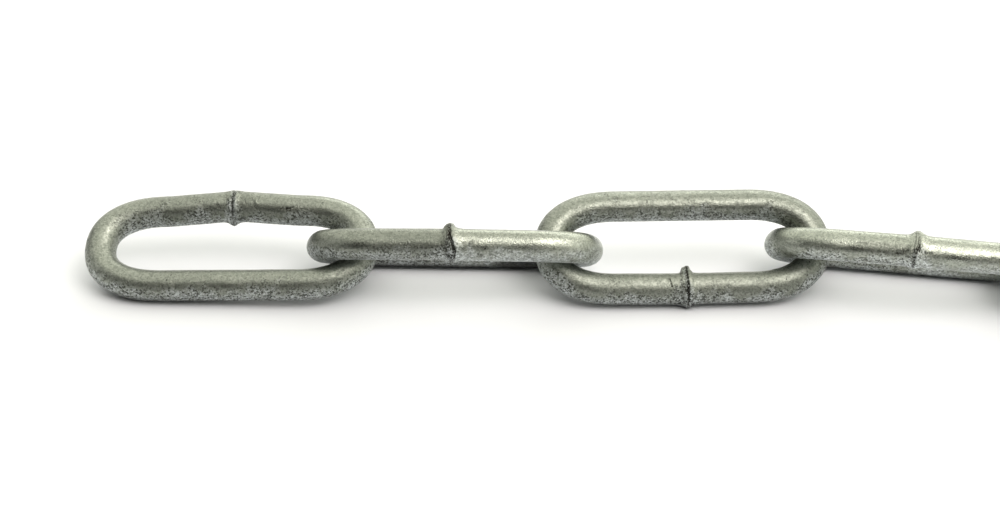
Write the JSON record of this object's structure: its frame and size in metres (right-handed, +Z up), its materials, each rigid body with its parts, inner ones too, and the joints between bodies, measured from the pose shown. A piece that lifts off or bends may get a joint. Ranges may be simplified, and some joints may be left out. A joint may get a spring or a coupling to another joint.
{
  "type": "length of long-link chain",
  "caption": "Half a metre of galvanised long-link steel chain: oval butt-welded links laid out straight, alternate links leaning opposite ways, each free to swing.",
  "frame": {"origin": "middle of the laid chain's footprint, on the floor", "axes": "+X along the run of the chain, +Z up; the first three links stray a little towards -Y"},
  "size_m": [0.5058, 0.0284, 0.012],
  "materials": {
    "galvanised_steel": "dull hot-dip galvanised zinc"
  },
  "bodies": {
    "link_01": {"link_01": "galvanised_steel"},
    "link_02": {"link_02": "galvanised_steel"},
    "link_03": {"link_03": "galvanised_steel"},
    "link_04": {"link_04": "galvanised_steel"},
    "link_05": {"link_05": "galvanised_steel"},
    "link_06": {"link_06": "galvanised_steel"},
    "link_07": {"link_07": "galvanised_steel"},
    "link_08": {"link_08": "galvanised_steel"},
    "link_09": {"link_09": "galvanised_steel"},
    "link_10": {"link_10": "galvanised_steel"},
    "link_11": {"link_11": "galvanised_steel"},
    "link_12": {"link_12": "galvanised_steel"},
    "link_13": {"link_13": "galvanised_steel"},
    "link_14": {"link_14": "galvanised_steel"},
    "link_15": {"link_15": "galvanised_steel"},
    "link_16": {"link_16": "galvanised_steel"}
  },
  "joints": [
    {"name": "swing_02", "type": "hinge", "parent": "link_01", "child": "link_02", "pos_m": [-0.21503, -0.00349, 0.00567], "axis": [0.0807, -0.5893, -0.8039], "range_deg": [-90, 90]},
    {"name": "swing_03", "type": "hinge", "parent": "link_02", "child": "link_03", "pos_m": [-0.18501, 0.00063, 0.00561], "axis": [0.1179, -0.6182, 0.7771], "range_deg": [-90, 90]},
    {"name": "swing_04", "type": "hinge", "parent": "link_03", "child": "link_04", "pos_m": [-0.15485, 0.00638, 0.00598], "axis": [0, 0.5948, 0.8039], "range_deg": [-90, 90]},
    {"name": "swing_05", "type": "hinge", "parent": "link_04", "child": "link_05", "pos_m": [-0.12365, 0.00638, 0.00561], "axis": [0, 0.5948, -0.8039], "range_deg": [-90, 90]},
    {"name": "swing_06", "type": "hinge", "parent": "link_05", "child": "link_06", "pos_m": [-0.09245, 0.00638, 0.00561], "axis": [0, -0.5948, -0.8039], "range_deg": [-90, 90]},
    {"name": "swing_07", "type": "hinge", "parent": "link_06", "child": "link_07", "pos_m": [-0.06125, 0.00638, 0.00561], "axis": [0, -0.5948, 0.8039], "range_deg": [-90, 90]},
    {"name": "swing_08", "type": "hinge", "parent": "link_07", "child": "link_08", "pos_m": [-0.03005, 0.00638, 0.00561], "axis": [0, 0.5948, 0.8039], "range_deg": [-90, 90]},
    {"name": "swing_09", "type": "hinge", "parent": "link_08", "child": "link_09", "pos_m": [0.00115, 0.00638, 0.00561], "axis": [0, 0.5948, -0.8039], "range_deg": [-90, 90]},
    {"name": "swing_10", "type": "hinge", "parent": "link_09", "child": "link_10", "pos_m": [0.03235, 0.00638, 0.00561], "axis": [0, -0.5948, -0.8039], "range_deg": [-90, 90]},
    {"name": "swing_11", "type": "hinge", "parent": "link_10", "child": "link_11", "pos_m": [0.06355, 0.00638, 0.00561], "axis": [0, -0.5948, 0.8039], "range_deg": [-90, 90]},
    {"name": "swing_12", "type": "hinge", "parent": "link_11", "child": "link_12", "pos_m": [0.09475, 0.00638, 0.00561], "axis": [0, 0.5948, 0.8039], "range_deg": [-90, 90]},
    {"name": "swing_13", "type": "hinge", "parent": "link_12", "child": "link_13", "pos_m": [0.12595, 0.00638, 0.00561], "axis": [0, 0.5948, -0.8039], "range_deg": [-90, 90]},
    {"name": "swing_14", "type": "hinge", "parent": "link_13", "child": "link_14", "pos_m": [0.15715, 0.00638, 0.00561], "axis": [0, -0.5948, -0.8039], "range_deg": [-90, 90]},
    {"name": "swing_15", "type": "hinge", "parent": "link_14", "child": "link_15", "pos_m": [0.18835, 0.00638, 0.00561], "axis": [0, -0.5948, 0.8039], "range_deg": [-90, 90]},
    {"name": "swing_16", "type": "hinge", "parent": "link_15", "child": "link_16", "pos_m": [0.21955, 0.00638, 0.00561], "axis": [0, 0.5948, 0.8039], "range_deg": [-90, 90]}
  ]
}
